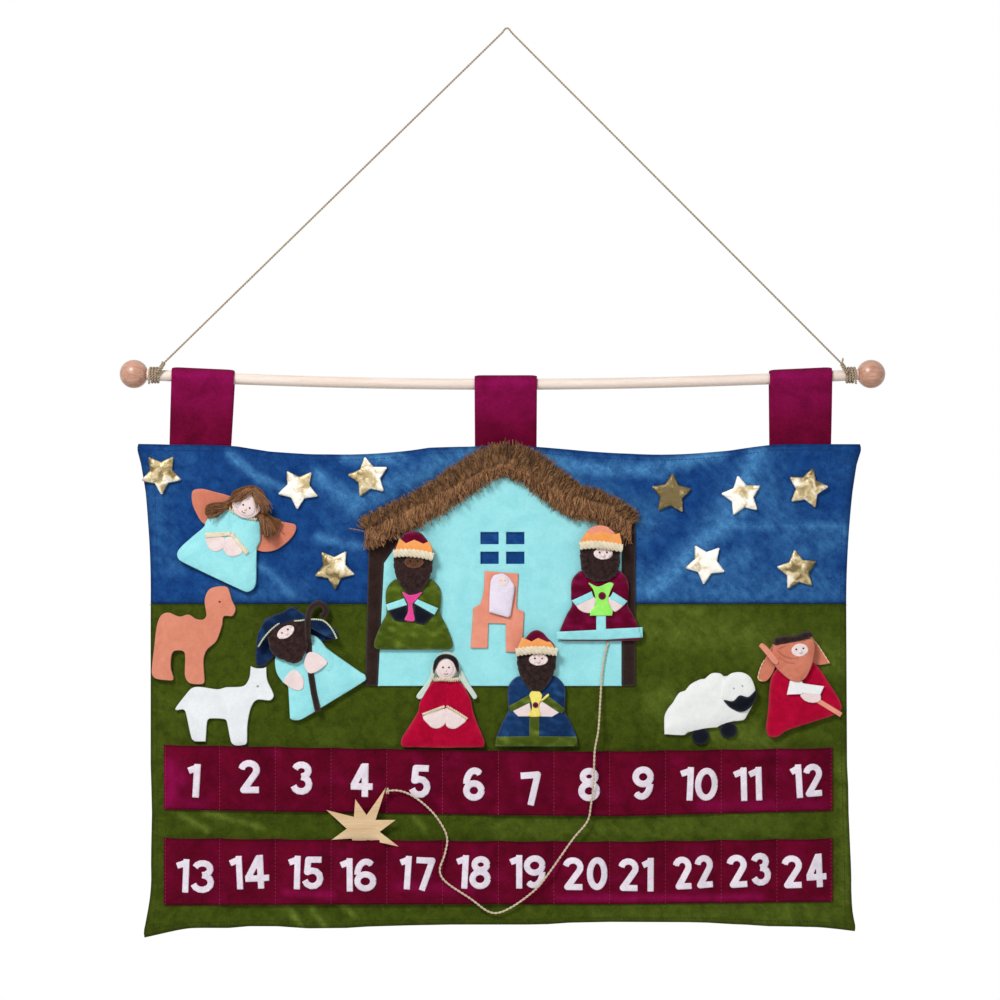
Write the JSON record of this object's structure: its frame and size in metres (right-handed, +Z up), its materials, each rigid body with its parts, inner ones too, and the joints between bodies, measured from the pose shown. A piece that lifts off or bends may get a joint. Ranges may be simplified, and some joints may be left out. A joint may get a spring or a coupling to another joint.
{
  "type": "fabric advent calendar",
  "caption": "Wall-hanging cloth banner on a rod with a hanging cord: numbered gift pockets, a felt stable, felt figures and gold stars that lift off, and a comet marker on a string.",
  "frame": {"origin": "underside of the hanging cord where it goes over its nail, straight above the rod's axis", "axes": "+X to the right along the rod, -Y out of the front of the banner, +Z up"},
  "size_m": [0.7654, 0.0297, 0.9074],
  "materials": {
    "jute": "twisted jute, matt",
    "rod_wood": "pale sanded wood",
    "ball_wood": "terracotta stained wood, satin",
    "sky_blue": "blue cloth with a soft sheen",
    "grass_green": "olive green cloth, matt",
    "burgundy_felt": "felt",
    "light_blue_felt": "felt",
    "dark_brown_felt": "felt",
    "thatch_dark": "brown fringe",
    "thatch_light": "light brown fringe",
    "salmon_felt": "felt",
    "gold_lame": "metallic gold cloth, crinkled",
    "white_felt": "felt",
    "crimson_felt": "felt",
    "navy_felt": "felt",
    "olive_felt": "felt",
    "orange_felt": "felt",
    "pale_felt": "felt",
    "hair_brown": "yarn and felt",
    "veil_felt": "thin felt",
    "comet_wood": "thin pale wood",
    "comet_string": "thin string"
  },
  "bodies": {
    "hanger": {"hanging_cord": "jute", "cord_winding_left": "jute", "cord_winding_right": "jute"},
    "banner": {"rod": "rod_wood", "ball_left": "ball_wood", "ball_right": "ball_wood", "tab_left": "burgundy_felt", "tab_centre": "burgundy_felt", "tab_right": "burgundy_felt", "sky_cloth": "sky_blue", "ground_cloth": "grass_green", "back_panel": "sky_blue", "stable_wall": "light_blue_felt", "post_left": "dark_brown_felt", "post_right": "dark_brown_felt", "thatch_upper": "thatch_dark", "thatch_lower": "thatch_light", "manger": "salmon_felt", "pocket_row_upper": "burgundy_felt", "pocket_row_lower": "burgundy_felt", "comet_cord": "comet_string"},
    "camel_figure": {"camel": "salmon_felt"},
    "goat_figure": {"goat": "white_felt"},
    "sheep": {"sheep_fleece": "white_felt", "sheep_head": "white_felt"},
    "child_figure": {"child": "white_felt"},
    "king_green": {"king_green_gown": "olive_felt", "king_green_head": "dark_brown_felt", "king_green_crown": "orange_felt"},
    "king_burgundy": {"king_burgundy_gown": "burgundy_felt", "king_burgundy_head": "dark_brown_felt", "king_burgundy_crown": "orange_felt"},
    "king_blue": {"king_blue_gown": "navy_felt", "king_blue_head": "dark_brown_felt", "king_blue_crown": "orange_felt"},
    "mother": {"mother_veil": "veil_felt", "mother_gown": "crimson_felt", "mother_head": "pale_felt"},
    "angel": {"angel_wings": "salmon_felt", "angel_gown": "light_blue_felt", "angel_head": "pale_felt", "angel_hair": "hair_brown"},
    "shepherd_left": {"shepherd_left_headcloth": "navy_felt", "shepherd_left_gown": "light_blue_felt", "shepherd_left_crook": "dark_brown_felt", "shepherd_left_head": "dark_brown_felt"},
    "shepherd_right": {"shepherd_right_headcloth": "salmon_felt", "shepherd_right_gown": "crimson_felt", "shepherd_right_staff": "salmon_felt", "shepherd_right_head": "salmon_felt"},
    "star_1_marker": {"star_1": "gold_lame"},
    "star_2_marker": {"star_2": "gold_lame"},
    "star_3_marker": {"star_3": "gold_lame"},
    "star_4_marker": {"star_4": "gold_lame"},
    "star_5_marker": {"star_5": "gold_lame"},
    "star_6_marker": {"star_6": "gold_lame"},
    "star_7_marker": {"star_7": "gold_lame"},
    "star_8_marker": {"star_8": "gold_lame"},
    "star_9_marker": {"star_9": "gold_lame"},
    "comet": {"comet_star": "comet_wood"}
  },
  "joints": [
    {"name": "banner_swing", "type": "hinge", "parent": "hanger", "child": "banner", "pos_m": [-0.0045, 0, -0.34611], "axis": [-1, 0, 0], "range_deg": [-45, 90]},
    {"name": "camel_lift_off", "type": "slide", "parent": "banner", "child": "camel_figure", "axis": [0, -1, 0], "range_m": [0, 0.06]},
    {"name": "goat_lift_off", "type": "slide", "parent": "banner", "child": "goat_figure", "axis": [0, -1, 0], "range_m": [0, 0.06]},
    {"name": "sheep_lift_off", "type": "slide", "parent": "banner", "child": "sheep", "axis": [0, -1, 0], "range_m": [0, 0.06]},
    {"name": "child_lift_off", "type": "slide", "parent": "banner", "child": "child_figure", "axis": [0, -1, 0], "range_m": [0, 0.06]},
    {"name": "king_green_lift_off", "type": "slide", "parent": "banner", "child": "king_green", "axis": [0, -1, 0], "range_m": [0, 0.06]},
    {"name": "king_burgundy_lift_off", "type": "slide", "parent": "banner", "child": "king_burgundy", "axis": [0, -1, 0], "range_m": [0, 0.06]},
    {"name": "king_blue_lift_off", "type": "slide", "parent": "banner", "child": "king_blue", "axis": [0, -1, 0], "range_m": [0, 0.06]},
    {"name": "mother_lift_off", "type": "slide", "parent": "banner", "child": "mother", "axis": [0, -1, 0], "range_m": [0, 0.06]},
    {"name": "angel_lift_off", "type": "slide", "parent": "banner", "child": "angel", "axis": [0, -1, 0], "range_m": [0, 0.06]},
    {"name": "shepherd_left_lift_off", "type": "slide", "parent": "banner", "child": "shepherd_left", "axis": [0, -1, 0], "range_m": [0, 0.06]},
    {"name": "shepherd_right_lift_off", "type": "slide", "parent": "banner", "child": "shepherd_right", "axis": [0, -1, 0], "range_m": [0, 0.06]},
    {"name": "star_1_lift_off", "type": "slide", "parent": "banner", "child": "star_1_marker", "axis": [0, -1, 0], "range_m": [0, 0.06]},
    {"name": "star_2_lift_off", "type": "slide", "parent": "banner", "child": "star_2_marker", "axis": [0, -1, 0], "range_m": [0, 0.06]},
    {"name": "star_3_lift_off", "type": "slide", "parent": "banner", "child": "star_3_marker", "axis": [0, -1, 0], "range_m": [0, 0.06]},
    {"name": "star_4_lift_off", "type": "slide", "parent": "banner", "child": "star_4_marker", "axis": [0, -1, 0], "range_m": [0, 0.06]},
    {"name": "star_5_lift_off", "type": "slide", "parent": "banner", "child": "star_5_marker", "axis": [0, -1, 0], "range_m": [0, 0.06]},
    {"name": "star_6_lift_off", "type": "slide", "parent": "banner", "child": "star_6_marker", "axis": [0, -1, 0], "range_m": [0, 0.06]},
    {"name": "star_7_lift_off", "type": "slide", "parent": "banner", "child": "star_7_marker", "axis": [0, -1, 0], "range_m": [0, 0.06]},
    {"name": "star_8_lift_off", "type": "slide", "parent": "banner", "child": "star_8_marker", "axis": [0, -1, 0], "range_m": [0, 0.06]},
    {"name": "star_9_lift_off", "type": "slide", "parent": "banner", "child": "star_9_marker", "axis": [0, -1, 0], "range_m": [0, 0.06]},
    {"name": "comet_lift_out", "type": "slide", "parent": "banner", "child": "comet", "axis": [0, -0.0993, 0.9951], "range_m": [0, 0.02], "deforming": ["comet_cord"]}
  ]
}
